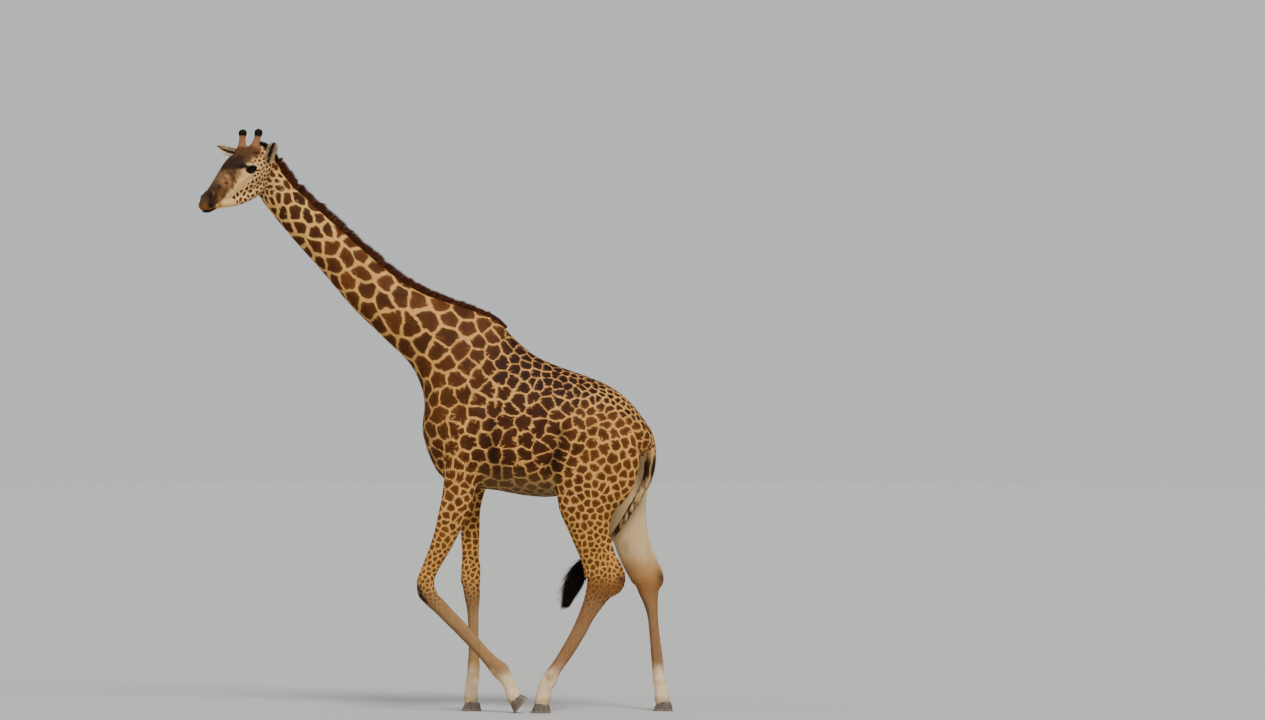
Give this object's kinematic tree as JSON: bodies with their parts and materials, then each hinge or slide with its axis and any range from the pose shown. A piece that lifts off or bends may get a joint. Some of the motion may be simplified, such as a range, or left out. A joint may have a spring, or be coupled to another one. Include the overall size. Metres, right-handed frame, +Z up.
{
  "type": "giraffe",
  "caption": "Life-size standing giraffe caught in mid-walk: sloping neck, head turned to its left, one fore foot on its toe, tail swung forward.",
  "frame": {"origin": "centre of the bounding box in plan, on the ground under the feet", "axes": "+X from nose to tail, so the animal faces -X; +Y to the animal's right; +Z up, the longest extent"},
  "size_m": [3.1986, 0.8032, 3.9639],
  "materials": {
    "coat": "short hair, dark brown patches on a tan ground",
    "shank": "short plain tan hair",
    "mane": "stiff red-brown hair",
    "tuft": "long coarse black hair",
    "horn": "short brown hair, black at the tip",
    "hoof": "dull dark horn",
    "eye": "wet and glossy"
  },
  "bodies": {
    "root": {"trunk": "coat", "neck": "coat", "head": "coat", "lower_jaw": "coat", "ear_left": "coat", "ear_right": "coat", "ossicone_left": "horn", "ossicone_right": "horn", "eye_left": "eye", "eye_right": "eye", "mane": "mane", "tail": "coat", "tail_tuft": "tuft", "leg_fore_left_upper": "coat", "leg_fore_left_lower": "shank", "leg_fore_right_upper": "coat", "leg_fore_right_lower": "shank", "leg_hind_left_upper": "coat", "leg_hind_left_lower": "shank", "leg_hind_right_upper": "coat", "leg_hind_right_lower": "shank", "hoof_fore_left_outer": "hoof", "hoof_fore_left_inner": "hoof", "hoof_fore_right_outer": "hoof", "hoof_fore_right_inner": "hoof", "hoof_hind_left_outer": "hoof", "hoof_hind_left_inner": "hoof", "hoof_hind_right_outer": "hoof", "hoof_hind_right_inner": "hoof"}
  },
  "joints": []
}
